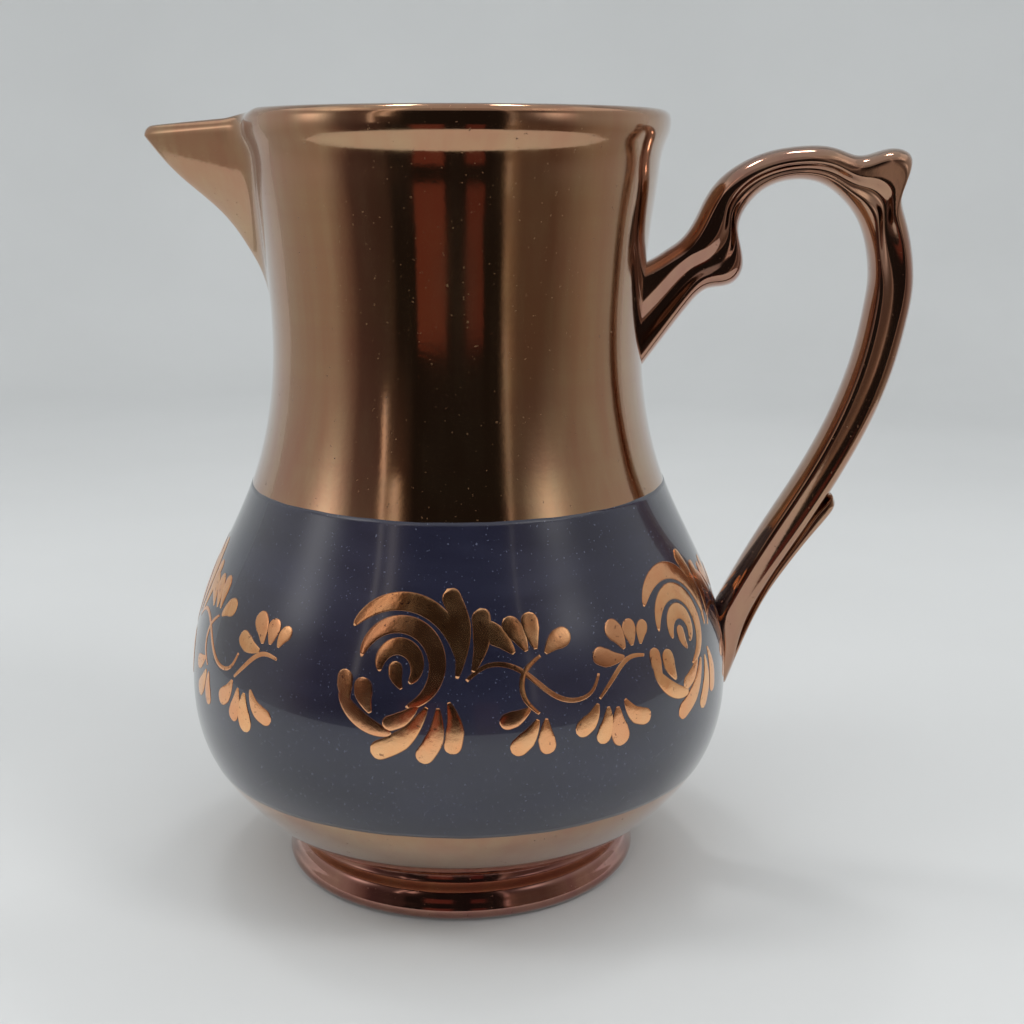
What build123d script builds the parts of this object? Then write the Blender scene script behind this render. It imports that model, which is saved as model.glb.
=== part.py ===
from build123d import *
from math import cos, radians, sin
import os

# Copper-lustre jug: a footed baluster body with a beak spout, a scrolled handle and a
# cobalt-blue band that carries painted lustre flower sprays.
# Millimetres. The Z axis is the axis of the body and the foot stands on z = 0. The spout
# points along -X and the handle along +X.

# Driving dimensions
JUG_HEIGHT = 150.0
LIP_RADIUS = 40.7
LIP_THICKNESS = 3.6
UNDERSIDE_HEIGHT = 4.2
FLOOR_HEIGHT = 8.0
FOOT_JOINT_RADIUS = 32.0
FOOT_JOINT_HEIGHT = 8.6
BAND_BOTTOM = 24.5
BAND_TOP = 79.5
BAND_THICKNESS = 0.4
HANDLE_WIDTH = 9.4
HANDLE_EDGE_RADIUS = 1.3
GROOVE_RADIUS = 2.8
GROOVE_DEPTH = 1.1
GROOVE_CENTRE = HANDLE_WIDTH / 2 + GROOVE_RADIUS - GROOVE_DEPTH
STROKE_RELIEF = 0.2
STEM_WIDTH = 0.9

# Turned pieces are drawn on this plane, which keeps their seams away from spout and handle
TURNING_PLANE = Plane.YZ

# Body profile, (radius, height), from the joint with the foot up to the lip
LIP_CENTRE = (LIP_RADIUS - LIP_THICKNESS / 2, JUG_HEIGHT - LIP_THICKNESS / 2)
OUTER_PROFILE = [
    (FOOT_JOINT_RADIUS, FOOT_JOINT_HEIGHT),
    (38.0, 11.2),
    (44.4, 16.7),
    (49.6, 23.2),
    (53.0, 31.5),
    (53.8, 40.5),
    (52.8, 50.0),
    (49.4, 60.8),
    (44.6, 70.8),
    (40.4, 80.4),
    (37.2, 92.5),
    (35.9, 106.0),
    (36.4, 119.0),
    (37.5, 130.0),
    (38.6, 138.0),
    (39.4, 142.4),
    (39.9, 144.8),
    (40.5, 146.8),
    (LIP_RADIUS, LIP_CENTRE[1]),
]
# The inner wall, from the lip down to the floor
INNER_PROFILE = [
    (LIP_RADIUS - LIP_THICKNESS, LIP_CENTRE[1]),
    (35.9, 140.5),
    (34.2, 130.0),
    (33.0, 118.0),
    (32.6, 106.0),
    (33.9, 92.5),
    (37.1, 80.0),
    (41.5, 70.0),
    (46.4, 59.8),
    (49.5, 49.8),
    (50.4, 40.5),
    (49.5, 31.8),
    (45.4, 23.4),
    (37.2, 15.2),
    (26.0, 9.4),
    (12.0, FLOOR_HEIGHT),
]

# Foot ring profile, from the joint with the belly down the outside
FOOT_SIDE = [
    (FOOT_JOINT_RADIUS, FOOT_JOINT_HEIGHT),
    (33.2, 8.2),
    (34.6, 7.3),
    (35.3, 5.6),
    (35.8, 3.6),
]
FOOT_BOTTOM_EDGE = (35.0, 1.5)
FOOT_REST_OUTER = 33.2
FOOT_REST_INNER = 30.0
FOOT_RECESS_RADIUS = 28.6
FOOT_RECESS_EDGE = 1.4

# Beak sections, (height, reach of the keel from the axis, half width at the back)
BEAK_BACK = 30.0
BEAK_SECTIONS = [
    (111.0, 34.2, 4.0),
    (118.0, 36.8, 7.5),
    (126.0, 40.5, 10.3),
    (133.5, 45.5, 13.0),
    (141.0, 52.8, 15.3),
    (JUG_HEIGHT, 61.6, 16.5),
]
# Shape of the V: where its flanks bend, as shares of its length and half width, and its nose
FLANK_POSITION = 0.5
FLANK_WIDTH = 0.46
NOSE_LENGTH = 0.06
NOSE_WIDTH = 0.075
# The pouring channel inside the beak, cut through the neck wall
CHANNEL_BACK = 26.0
CHANNEL_SECTIONS = [
    (119.0, 32.6, 7.0),
    (126.0, 36.4, 10.8),
    (133.5, 41.1, 13.0),
    (141.0, 47.7, 14.6),
    (JUG_HEIGHT + 1, 57.0, 14.6),
]
# Line of the beak's top edge in the XZ plane, from the lip to past the tip
BEAK_TIP_DIP = [(-41.0, JUG_HEIGHT), (-50.0, 149.0), (-64.0, 145.8)]

# Handle outline in the XZ plane. Both ends run on inside the body, which trims them.
# Over the crest, round the thumb scroll and down the back to the belly
HANDLE_BACK = [
    (33.8, 120.4),
    (40.3, 123.8),
    (44.7, 127.4),
    (48.6, 135.0),
    (55.6, 140.9),
    (65.5, 143.4),
    (77.0, 141.7),
    (83.3, 143.0),
    (86.6, 141.6),
    (86.2, 138.5),
    (85.0, 134.8),
    (86.4, 129.3),
    (88.4, 119.0),
    (87.1, 106.5),
    (81.9, 90.5),
    (72.9, 73.8),
    (64.0, 59.8),
    (58.9, 49.3),
    (55.9, 38.4),
    (50.6, 27.6),
]
# Up the finger side, round the knob and along the strut to the neck
HANDLE_FRONT = [
    (47.6, 46.2),
    (52.7, 54.1),
    (59.1, 65.9),
    (68.9, 82.4),
    (76.0, 98.5),
    (79.5, 114.2),
    (79.4, 123.2),
    (74.2, 133.3),
    (66.1, 137.1),
    (57.4, 134.1),
    (54.2, 127.6),
    (55.3, 121.0),
    (53.6, 117.5),
    (50.2, 117.2),
    (44.8, 113.0),
    (39.1, 105.5),
    (35.3, 100.4),
]
SPUR_TOP = [(72.4, 77.8), (74.1, 75.4), (75.4, 74.4), (74.7, 72.0)]
SPUR_BACK = [(74.7, 72.0), (66.6, 62.0), (59.9, 50.3)]
SPUR_INSIDE = (61.3, 58.8)
SPUR_WIDTH = 7.0
# Centre line of the groove along each side of the handle
GROOVE_PATH = [
    (36.8, 111.3),
    (44.5, 118.4),
    (50.4, 126.2),
    (54.2, 134.2),
    (60.0, 138.6),
    (67.1, 140.1),
    (75.2, 138.1),
    (81.5, 131.2),
    (83.9, 117.8),
    (81.7, 102.3),
    (75.6, 86.4),
    (66.2, 70.2),
    (57.9, 55.3),
    (50.8, 38.6),
]

# Flower sprays. Angles are measured about Z, and the strokes are drawn on planes that
# touch the belly, with x to the right and y as the height.
ROSE_ANGLES = [-100.0, -35.0, 37.5, 110.0, 181.5]
BRANCH_TURN = 31.9
SKETCH_RADIUS = 60.0
PRISM_DEPTH = 30.0
# Where a petal stroke is fullest, as a share of its length, and the pull on its outline there
PETAL_WAIST = 0.55
PETAL_PULL = 0.7
ROSE_CENTRE = (0.0, 56.4)
# (radius, start angle, sweep, width) of the strokes that circle the rose
ROSE_CURLS = [
    (3.3, -52.0, 248.0, 2.6),
    (6.8, -76.0, 246.0, 2.8),
    (10.4, 4.0, 141.0, 2.8),
    (11.3, 205.0, 61.0, 2.6),
]
# (root, tip, width, bend) of the comma-shaped strokes
ROSE_PETALS = [
    ((0.8, 52.8), (-0.4, 57.3), 2.2, 0.5),
    ((-8.7, 49.1), (-9.3, 55.3), 2.6, 0.4),
    ((-4.6, 48.4), (-6.1, 54.3), 3.0, 0.5),
    ((10.2, 54.7), (7.4, 68.9), 2.8, -1.8),
    ((12.8, 55.7), (13.1, 65.8), 2.8, -1.0),
    ((5.3, 49.9), (-4.5, 41.4), 3.2, 1.6),
    ((4.0, 50.6), (-2.4, 46.5), 2.4, 0.8),
    ((7.2, 49.8), (4.1, 40.3), 3.0, 1.2),
    ((9.0, 50.8), (9.5, 41.8), 2.8, 0.9),
]
BRANCH_LEAVES = [
    ((-8.1, 58.4), (-13.1, 62.9), 3.2, -0.5),
    ((-5.9, 58.6), (-9.0, 64.0), 3.0, -0.4),
    ((-4.2, 58.8), (-4.5, 64.8), 2.8, 0.2),
    ((-2.6, 58.0), (2.5, 60.6), 3.0, 0.6),
    ((-6.2, 49.2), (-11.7, 46.9), 2.6, 0.4),
    ((-5.0, 47.1), (-9.8, 41.6), 3.0, 0.6),
    ((-3.5, 47.1), (-3.0, 40.8), 2.8, -0.4),
    ((12.9, 55.2), (6.4, 57.0), 2.8, 0.6),
    ((13.1, 56.5), (9.8, 61.3), 3.0, -0.5),
    ((14.9, 56.7), (14.3, 61.2), 2.8, -0.2),
    ((16.9, 56.6), (18.5, 60.3), 2.4, 0.3),
    ((6.5, 48.3), (2.0, 43.7), 3.0, 0.8),
    ((8.6, 47.4), (6.8, 41.0), 2.8, 0.5),
    ((10.6, 47.0), (11.9, 39.9), 3.4, -0.6),
    ((12.2, 48.0), (18.1, 43.6), 2.8, -1.2),
]
BRANCH_STEMS = [
    [(-16.6, 54.3), (-12.7, 56.7), (-8.3, 56.1), (-3.5, 52.3), (1.2, 49.7), (5.3, 50.5), (7.1, 53.4)],
    [(-3.6, 57.7), (-6.9, 54.9), (-7.2, 51.2), (-4.7, 48.1)],
    [(6.9, 49.1), (9.8, 51.9), (14.1, 54.9), (17.4, 54.6)],
]



def outer_curve(outset=0.0):
    """The outer profile of the body, moved away from the axis by outset."""
    return Spline([(radius + outset, height) for radius, height in OUTER_PROFILE])


def profile_layer(inner_outset, outer_outset, bottom, top):
    """Section of a thin layer that follows the body's outer profile between two heights."""
    with BuildSketch() as section:
        for outset, mode in ((outer_outset, Mode.ADD), (inner_outset, Mode.SUBTRACT)):
            with BuildLine() as outline:
                curve = outer_curve(outset)
                Polyline(curve @ 1, (0, LIP_CENTRE[1]), (0, FOOT_JOINT_HEIGHT), curve @ 0)
            make_face(outline.edges(), mode=mode)
        with Locations((SKETCH_RADIUS / 2, (bottom + top) / 2)):
            Rectangle(SKETCH_RADIUS, top - bottom, mode=Mode.INTERSECT)
    return section.sketch


def beak_section(height, reach, half_width, back):
    """V-shaped plan section of the beak, with its open end at the back."""
    span = reach - back
    shoulder = (-back - FLANK_POSITION * span, FLANK_WIDTH * half_width)
    nose = (-reach + NOSE_LENGTH * span, NOSE_WIDTH * half_width)
    with BuildSketch(Plane.XY.offset(height)) as section:
        with BuildLine():
            Spline((-back, half_width), shoulder, nose)
            ThreePointArc(nose, (-reach, 0), (nose[0], -nose[1]))
            Spline((nose[0], -nose[1]), (shoulder[0], -shoulder[1]), (-back, -half_width))
            Line((-back, -half_width), (-back, half_width))
        make_face()
    return section.sketch


def tangent_plane(angle):
    """Upright plane that faces away from the axis at an angle about Z."""
    turn = radians(angle)
    outward = (cos(turn), sin(turn), 0)
    origin = (SKETCH_RADIUS * outward[0], SKETCH_RADIUS * outward[1], 0)
    return Plane(origin=origin, x_dir=(-outward[1], outward[0], 0), z_dir=outward)


def about_rose(radius, angle):
    """Point at a radius and an angle about the centre of the rose."""
    turn = radians(angle)
    return (ROSE_CENTRE[0] + radius * cos(turn), ROSE_CENTRE[1] + radius * sin(turn))


def curl_stroke(radius, start, sweep, width):
    """Crescent-shaped brush stroke about the rose's centre."""
    first = about_rose(radius, start)
    last = about_rose(radius, start + sweep)
    middle = start + sweep / 2
    with BuildLine() as outline:
        ThreePointArc(first, about_rose(radius + width / 2, middle), last)
        ThreePointArc(last, about_rose(radius - width / 2, middle), first)
    make_face(outline.edges())


def petal_stroke(root, tip, width, bend):
    """Comma-shaped brush stroke from a fine root to a round tip."""
    start = Vector(*root)
    end = Vector(*tip)
    along = (end - start).normalized()
    across = Vector(-along.Y, along.X)
    waist = start + (end - start) * PETAL_WAIST + across * bend
    pull = across * (PETAL_PULL * width)
    shoulder = end - along * (width / 2)
    half = across * (width / 2)
    with BuildLine() as outline:
        Bezier(start, waist + pull, shoulder + half)
        ThreePointArc(shoulder + half, end, shoulder - half)
        Bezier(shoulder - half, waist - pull, start)
    make_face(outline.edges())


# The whole body with no hollow, which trims the applied pieces
with BuildPart() as envelope:
    with BuildSketch(TURNING_PLANE):
        with BuildLine():
            flank = outer_curve()
            crown = RadiusArc(flank @ 1, (LIP_CENTRE[0], JUG_HEIGHT), -LIP_THICKNESS / 2)
            Polyline(
                crown @ 1,
                (LIP_CENTRE[0], JUG_HEIGHT + LIP_THICKNESS),
                (0, JUG_HEIGHT + LIP_THICKNESS),
                (0, FOOT_JOINT_HEIGHT),
                flank @ 0,
            )
        make_face()
    revolve(axis=Axis.Z)

# Pouring channel of the beak
with BuildPart() as channel:
    loft([beak_section(*section, CHANNEL_BACK) for section in CHANNEL_SECTIONS])

# Blue band, let into the body so that the two are flush
with BuildPart() as blue_band:
    with BuildSketch(TURNING_PLANE):
        add(profile_layer(-BAND_THICKNESS, 0, BAND_BOTTOM, BAND_TOP))
    revolve(axis=Axis.Z)

# Body: belly, neck, rounded lip and floor
with BuildPart() as body_shell:
    with BuildSketch(TURNING_PLANE):
        with BuildLine():
            wall = outer_curve()
            ThreePointArc(wall @ 1, (LIP_CENTRE[0], JUG_HEIGHT), INNER_PROFILE[0])
            lining = Spline(INNER_PROFILE)
            Polyline(
                lining @ 1,
                (0, FLOOR_HEIGHT),
                (0, UNDERSIDE_HEIGHT),
                (FOOT_JOINT_RADIUS, UNDERSIDE_HEIGHT),
                wall @ 0,
            )
        make_face()
    revolve(axis=Axis.Z)
    add(blue_band.part, mode=Mode.SUBTRACT)
    add(channel.part, mode=Mode.SUBTRACT)

# Foot ring, which carries the rim of the floor and stands on a narrow flat face
with BuildPart() as foot_ring:
    with BuildSketch(TURNING_PLANE):
        with BuildLine():
            cove = Spline(FOOT_SIDE)
            Spline(cove @ 1, FOOT_BOTTOM_EDGE, (FOOT_REST_OUTER, 0))
            Polyline(
                (FOOT_REST_OUTER, 0),
                (FOOT_REST_INNER, 0),
                (FOOT_RECESS_RADIUS, FOOT_RECESS_EDGE),
                (FOOT_RECESS_RADIUS, UNDERSIDE_HEIGHT),
                (FOOT_JOINT_RADIUS, UNDERSIDE_HEIGHT),
                cove @ 0,
            )
        make_face()
    revolve(axis=Axis.Z)

# Beak spout, applied to the neck and dipped at its tip
with BuildPart() as spout:
    loft([beak_section(*section, BEAK_BACK) for section in BEAK_SECTIONS])
    with BuildSketch(Plane.XZ):
        with BuildLine():
            dip = Spline(BEAK_TIP_DIP)
            Polyline(
                dip @ 1,
                (BEAK_TIP_DIP[-1][0], JUG_HEIGHT + 1),
                (BEAK_TIP_DIP[0][0], JUG_HEIGHT + 1),
                dip @ 0,
            )
        make_face()
    extrude(amount=BEAK_BACK, both=True, mode=Mode.SUBTRACT)
    add(channel.part, mode=Mode.SUBTRACT)
    add(envelope.part, mode=Mode.SUBTRACT)

# Handle: a flat scroll with rounded edges, a groove along each side and a spur behind
with BuildPart() as handle:
    with BuildSketch(Plane.XZ.offset(-HANDLE_WIDTH / 2)):
        with BuildLine():
            back = Spline(HANDLE_BACK)
            front = Spline(HANDLE_FRONT)
            Line(back @ 1, front @ 0)
            Line(front @ 1, back @ 0)
        make_face()
    extrude(amount=HANDLE_WIDTH)
    rims = handle.faces().filter_by(Axis.Y).edges().filter_by(GeomType.LINE, reverse=True)
    fillet(rims, HANDLE_EDGE_RADIUS)
    with BuildSketch(Plane.XZ.offset(-SPUR_WIDTH / 2)):
        with BuildLine():
            Spline(SPUR_TOP)
            Spline(SPUR_BACK)
            Polyline(SPUR_BACK[-1], SPUR_INSIDE, SPUR_TOP[0])
        make_face()
    extrude(amount=SPUR_WIDTH)
    for side in (1, -1):
        with BuildLine(Plane.XZ.offset(side * GROOVE_CENTRE)):
            groove = Spline(GROOVE_PATH)
        with BuildSketch(Plane(origin=groove @ 0, z_dir=groove % 0)):
            Circle(GROOVE_RADIUS)
        sweep(path=groove, mode=Mode.SUBTRACT)
    add(envelope.part, mode=Mode.SUBTRACT)

# One flower spray: a rose and the branch to its right, as a thin raised layer
with BuildPart() as relief_layer:
    with BuildSketch(TURNING_PLANE):
        add(profile_layer(0, STROKE_RELIEF, BAND_BOTTOM, BAND_TOP))
    revolve(axis=Axis.Z)

with BuildPart() as spray_pattern:
    with BuildSketch(tangent_plane(0)):
        for curl in ROSE_CURLS:
            curl_stroke(*curl)
        for petal in ROSE_PETALS:
            petal_stroke(*petal)
    extrude(amount=-PRISM_DEPTH)
    with BuildSketch(tangent_plane(BRANCH_TURN)):
        for leaf in BRANCH_LEAVES:
            petal_stroke(*leaf)
        for points in BRANCH_STEMS:
            with BuildLine() as stem:
                Spline(points)
            trace(stem.edges(), STEM_WIDTH)
    extrude(amount=-PRISM_DEPTH)
    add(relief_layer.part, mode=Mode.INTERSECT)

sprays = []
for number, angle in enumerate(ROSE_ANGLES, start=1):
    with BuildPart() as spray:
        add(spray_pattern.part, rotation=(0, 0, angle))
        add(handle.part, mode=Mode.SUBTRACT)
    spray.part.label = f"spray_{number}"
    sprays.append(spray.part)

body_shell.part.label = "body_shell"
foot_ring.part.label = "foot_ring"
spout.part.label = "spout"
handle.part.label = "handle"
blue_band.part.label = "blue_band"

os.makedirs("parts", exist_ok=True)
for piece in [body_shell.part, foot_ring.part, spout.part, handle.part, blue_band.part, *sprays]:
    export_step(piece, f"parts/{piece.label}.step")
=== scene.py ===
import math

import bpy
import numpy as np
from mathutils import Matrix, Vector


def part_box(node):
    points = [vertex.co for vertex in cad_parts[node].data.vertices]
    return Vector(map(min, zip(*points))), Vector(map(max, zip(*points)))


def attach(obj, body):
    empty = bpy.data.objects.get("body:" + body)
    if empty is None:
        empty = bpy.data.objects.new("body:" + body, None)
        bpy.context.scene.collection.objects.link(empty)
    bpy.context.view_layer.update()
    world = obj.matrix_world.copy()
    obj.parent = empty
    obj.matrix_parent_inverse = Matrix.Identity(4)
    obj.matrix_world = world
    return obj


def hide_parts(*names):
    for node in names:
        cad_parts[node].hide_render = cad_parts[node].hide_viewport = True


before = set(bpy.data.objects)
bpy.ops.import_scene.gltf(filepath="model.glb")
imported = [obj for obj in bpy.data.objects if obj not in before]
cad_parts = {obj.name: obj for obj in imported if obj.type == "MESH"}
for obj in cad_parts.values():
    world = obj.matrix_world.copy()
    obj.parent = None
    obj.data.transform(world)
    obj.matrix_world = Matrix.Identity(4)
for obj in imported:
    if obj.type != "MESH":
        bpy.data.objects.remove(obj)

# Copper-lustre jug: fine meshes and glaze materials for every CAD node.
# Outlines below are in millimetres, as in the CAD source. Meshes are built in metres.
# Z is up the axis of the body, the spout points along -X and the handle along +X.

MM = 0.001
FULL_TURN = 2 * math.pi
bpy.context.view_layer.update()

# Heights and widths read from the CAD nodes, in millimetres
JUG_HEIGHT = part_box("body_shell")[1].z / MM
UNDERSIDE_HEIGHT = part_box("body_shell")[0].z / MM
BEAK_REACH = -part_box("spout")[0].x / MM
BAND_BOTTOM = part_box("blue_band")[0].z / MM
BAND_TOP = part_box("blue_band")[1].z / MM
HANDLE_HALF_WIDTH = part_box("handle")[1].y / MM

LIP_RADIUS = 40.7
LIP_THICKNESS = 3.6
LIP_CENTRE_HEIGHT = JUG_HEIGHT - LIP_THICKNESS / 2
FOOT_JOINT = (32.0, 8.6)
FLOOR_HEIGHT = 8.0

# Body profiles, (radius, height), outside from the foot to the lip and inside back down
OUTER_PROFILE = [
    FOOT_JOINT,
    (38.0, 11.2),
    (44.4, 16.7),
    (49.6, 23.2),
    (53.0, 31.5),
    (53.8, 40.5),
    (52.8, 50.0),
    (49.4, 60.8),
    (44.6, 70.8),
    (40.4, 80.4),
    (37.2, 92.5),
    (35.9, 106.0),
    (36.4, 119.0),
    (37.5, 130.0),
    (38.6, 138.0),
    (39.0, 141.2),
    (39.4, 142.9),
    (40.0, 144.5),
    (40.6, 146.3),
    (LIP_RADIUS, LIP_CENTRE_HEIGHT),
]
INNER_PROFILE = [
    (LIP_RADIUS - LIP_THICKNESS, LIP_CENTRE_HEIGHT),
    (35.9, 140.5),
    (34.2, 130.0),
    (33.0, 118.0),
    (32.6, 106.0),
    (33.9, 92.5),
    (37.1, 80.0),
    (41.5, 70.0),
    (46.4, 59.8),
    (49.5, 49.8),
    (50.4, 40.5),
    (49.5, 31.8),
    (45.4, 23.4),
    (37.2, 15.2),
    (26.0, 9.4),
    (12.0, FLOOR_HEIGHT),
]
FLOOR_PROFILE = [
    (8.0, FLOOR_HEIGHT),
    (4.0, FLOOR_HEIGHT),
    (0.5, FLOOR_HEIGHT),
]
UNDERSIDE_PROFILE = [
    (0.5, UNDERSIDE_HEIGHT),
    (12.0, UNDERSIDE_HEIGHT),
    (24.0, UNDERSIDE_HEIGHT),
    (31.2, UNDERSIDE_HEIGHT),
    (FOOT_JOINT[0], UNDERSIDE_HEIGHT + 0.4),
]
# Foot ring section, from the recess round the resting face and up to the belly
FOOT_PROFILE = [
    (28.8, 4.2),
    (28.6, 2.8),
    (28.7, 1.4),
    (29.8, 0.3),
    (31.5, 0.0),
    (33.4, 0.05),
    (34.9, 0.6),
    (35.7, 1.5),
    (35.8, 2.4),
    (35.3, 3.8),
    (34.8, 5.1),
    (34.1, 6.0),
    (33.2, 6.5),
    (32.6, 7.1),
    (32.3, 7.9),
    (32.1, 8.8),
]

# Beak sections, (height, reach of the keel, half width at the back)
BEAK_START_HEIGHT = 111.0
BEAK_RISE = LIP_CENTRE_HEIGHT - BEAK_START_HEIGHT
BEAK_BACK = 30.0
BEAK_SECTIONS = [
    (BEAK_START_HEIGHT, 34.2, 4.0),
    (118.0, 36.8, 7.5),
    (126.0, 40.5, 10.3),
    (133.5, 45.5, 13.0),
    (141.0, 52.8, 15.3),
    (JUG_HEIGHT, BEAK_REACH, 16.5),
]
# The pouring channel inside the beak
CHANNEL_BACK = 26.0
CHANNEL_SECTIONS = [
    (BEAK_START_HEIGHT, 26.5, 0.5),
    (119.0, 32.6, 7.0),
    (126.0, 36.4, 10.8),
    (133.5, 41.1, 13.0),
    (141.0, 47.7, 14.6),
    (JUG_HEIGHT, 56.1, 14.6),
]
BEAK_LEAST_HALF_WIDTH = 0.1
BEAK_FILLET = 2.4
# How far the V is rounded at its keel, as an angle seen from the axis
BEAK_NOSE = math.radians(1.6)
# The beak stays within this angle of its keel, seen from the axis
BEAK_HALF_ANGLE = math.radians(45)
# The beak's top edge steps down where it leaves the lip, then falls gently to the tip
DIP_START = 35.5
DIP_STEP = 1.2
DIP_STEP_LENGTH = 5.0
DIP_SLOPE = 0.073

# Handle stations: finger side (x, z), back (x, z), groove centre and half width as shares of
# the section, groove depth. They run from the neck over the crest and down to the belly.
HANDLE_STATIONS = [
    (35.2, 100.3, 34.2, 120.5, 0.42, 0.22, 0.9),
    (39.1, 105.5, 37.6, 122.1, 0.44, 0.24, 1.2),
    (44.8, 113.0, 41.2, 124.4, 0.46, 0.26, 1.3),
    (48.6, 116.4, 43.5, 126.2, 0.46, 0.24, 1.2),
    (51.2, 116.8, 44.9, 128.0, 0.46, 0.20, 1.0),
    (53.8, 117.8, 46.1, 130.2, 0.46, 0.18, 0.9),
    (55.3, 121.0, 47.2, 132.6, 0.44, 0.17, 0.9),
    (54.2, 127.6, 49.5, 136.3, 0.40, 0.17, 1.0),
    (56.4, 133.0, 53.0, 139.4, 0.38, 0.17, 1.1),
    (60.7, 136.2, 58.6, 142.1, 0.36, 0.17, 1.1),
    (66.1, 137.1, 65.5, 143.4, 0.36, 0.17, 1.1),
    (71.2, 135.7, 72.8, 142.9, 0.36, 0.18, 1.1),
    (74.6, 133.0, 77.8, 141.7, 0.36, 0.18, 1.1),
    (76.7, 130.4, 83.3, 143.0, 0.36, 0.17, 1.2),
    (77.8, 128.4, 86.6, 141.6, 0.36, 0.16, 1.3),
    (78.5, 126.6, 86.3, 138.5, 0.38, 0.18, 1.3),
    (79.4, 123.2, 85.1, 134.4, 0.42, 0.24, 1.3),
    (79.9, 119.2, 86.4, 129.3, 0.44, 0.30, 0.9),
    (79.5, 114.2, 88.4, 119.0, 0.48, 0.34, 0.5),
    (78.5, 108.0, 87.8, 111.4, 0.50, 0.36, 0.35),
    (76.0, 98.5, 85.5, 100.9, 0.50, 0.36, 0.3),
    (68.9, 82.4, 78.7, 84.2, 0.50, 0.36, 0.3),
    (59.1, 65.9, 68.6, 66.8, 0.50, 0.36, 0.3),
    (53.0, 54.7, 61.5, 55.1, 0.50, 0.36, 0.3),
    (51.5, 50.9, 58.9, 49.3, 0.50, 0.34, 0.3),
    (51.8, 44.7, 56.9, 42.3, 0.50, 0.30, 0.2),
    (52.0, 38.6, 54.7, 36.6, 0.50, 0.30, 0.1),
]
# How far the side rounds over at each edge
HANDLE_RIM = 3.1
# Spur stations: side against the handle (x, z), outer side (x, z)
SPUR_STATIONS = [
    (73.8, 75.2, 74.7, 75.7),
    (72.4, 73.8, 75.4, 74.2),
    (70.6, 71.8, 74.5, 71.8),
    (67.8, 67.3, 71.3, 67.8),
    (63.3, 60.3, 66.6, 61.6),
    (60.1, 54.2, 62.5, 55.3),
    (57.5, 48.2, 59.5, 49.3),
    (55.0, 42.2, 56.7, 42.1),
    (53.4, 37.1, 54.5, 36.6),
]
SPUR_HALF_WIDTH = 3.5
SPUR_RIM = 1.4

# Flower sprays. Angles are measured about Z. Strokes are drawn on planes that touch the
# belly, with x to the right and y as the height.
ROSE_ANGLES = [-100.0, -35.0, 37.5, 110.0, 181.5]
BRANCH_TURN = 31.9
ROSE_CENTRE = (0.0, 56.4)
# (radius, start angle, sweep, width) of the strokes that circle the rose
ROSE_CURLS = [
    (3.3, -52.0, 248.0, 2.6),
    (6.8, -76.0, 246.0, 2.8),
    (10.4, 4.0, 141.0, 2.8),
    (11.3, 205.0, 61.0, 2.6),
]
# (root, tip, width, bend) of the comma-shaped strokes
ROSE_PETALS = [
    ((0.8, 52.8), (-0.4, 57.3), 2.2, 0.5),
    ((-8.7, 49.1), (-9.3, 55.3), 2.6, 0.4),
    ((-4.6, 48.4), (-6.1, 54.3), 3.0, 0.5),
    ((10.2, 54.7), (7.4, 68.9), 2.8, -1.8),
    ((12.8, 55.7), (13.1, 65.8), 2.8, -1.0),
    ((5.3, 49.9), (-4.5, 41.4), 3.2, 1.6),
    ((4.0, 50.6), (-2.4, 46.5), 2.4, 0.8),
    ((7.2, 49.8), (4.1, 40.3), 3.0, 1.2),
    ((9.0, 50.8), (9.5, 41.8), 2.8, 0.9),
]
BRANCH_LEAVES = [
    ((-8.1, 58.4), (-13.1, 62.9), 3.2, -0.5),
    ((-5.9, 58.6), (-9.0, 64.0), 3.0, -0.4),
    ((-4.2, 58.8), (-4.5, 64.8), 2.8, 0.2),
    ((-2.6, 58.0), (2.5, 60.6), 3.0, 0.6),
    ((-6.2, 49.2), (-11.7, 46.9), 2.6, 0.4),
    ((-5.0, 47.1), (-9.8, 41.6), 3.0, 0.6),
    ((-3.5, 47.1), (-3.0, 40.8), 2.8, -0.4),
    ((12.9, 55.2), (6.4, 57.0), 2.8, 0.6),
    ((13.1, 56.5), (9.8, 61.3), 3.0, -0.5),
    ((14.9, 56.7), (14.3, 61.2), 2.8, -0.2),
    ((16.9, 56.6), (18.5, 60.3), 2.4, 0.3),
    ((6.5, 48.3), (2.0, 43.7), 3.0, 0.8),
    ((8.6, 47.4), (6.8, 41.0), 2.8, 0.5),
    ((10.6, 47.0), (11.9, 39.9), 3.4, -0.6),
    ((12.2, 48.0), (18.1, 43.6), 2.8, -1.2),
]
BRANCH_STEMS = [
    [
        (-16.6, 54.3),
        (-12.7, 56.7),
        (-8.3, 56.1),
        (-3.5, 52.3),
        (1.2, 49.7),
        (5.3, 50.5),
        (7.1, 53.4),
    ],
    [(-3.6, 57.7), (-6.9, 54.9), (-7.2, 51.2), (-4.7, 48.1)],
    [(6.9, 49.1), (9.8, 51.9), (14.1, 54.9), (17.4, 54.6)],
]
STEM_WIDTH = 0.95
# How much fuller the painted strokes are than their drawn widths
STROKE_SPREAD = 1.12

# A stroke is finest at its root and reaches its full width part of the way along
PETAL_ROOT = 0.16
PETAL_FULL_AT = 0.55
PETAL_SWELL = 0.8
CURL_SWELL = 0.45
STEM_END = 0.55

# How far the layers stand off the belly, and how deep their edges run into it
BAND_SKIN = 0.05
STROKE_SKIN = 0.06
STROKE_DOME = 0.07
STROKE_STEP = 0.004
BURIED = 0.3

# Painted edges of the band: (wander, phase), then (waves round the jug, phase factor, share)
LOW_EDGE = (0.13, 0.7)
HIGH_EDGE = (0.09, 2.1)
EDGE_WAVES = [(3, 1, 1.0), (7, 2, 0.6), (19, 3, 0.35), (43, 1, 0.2)]

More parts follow.
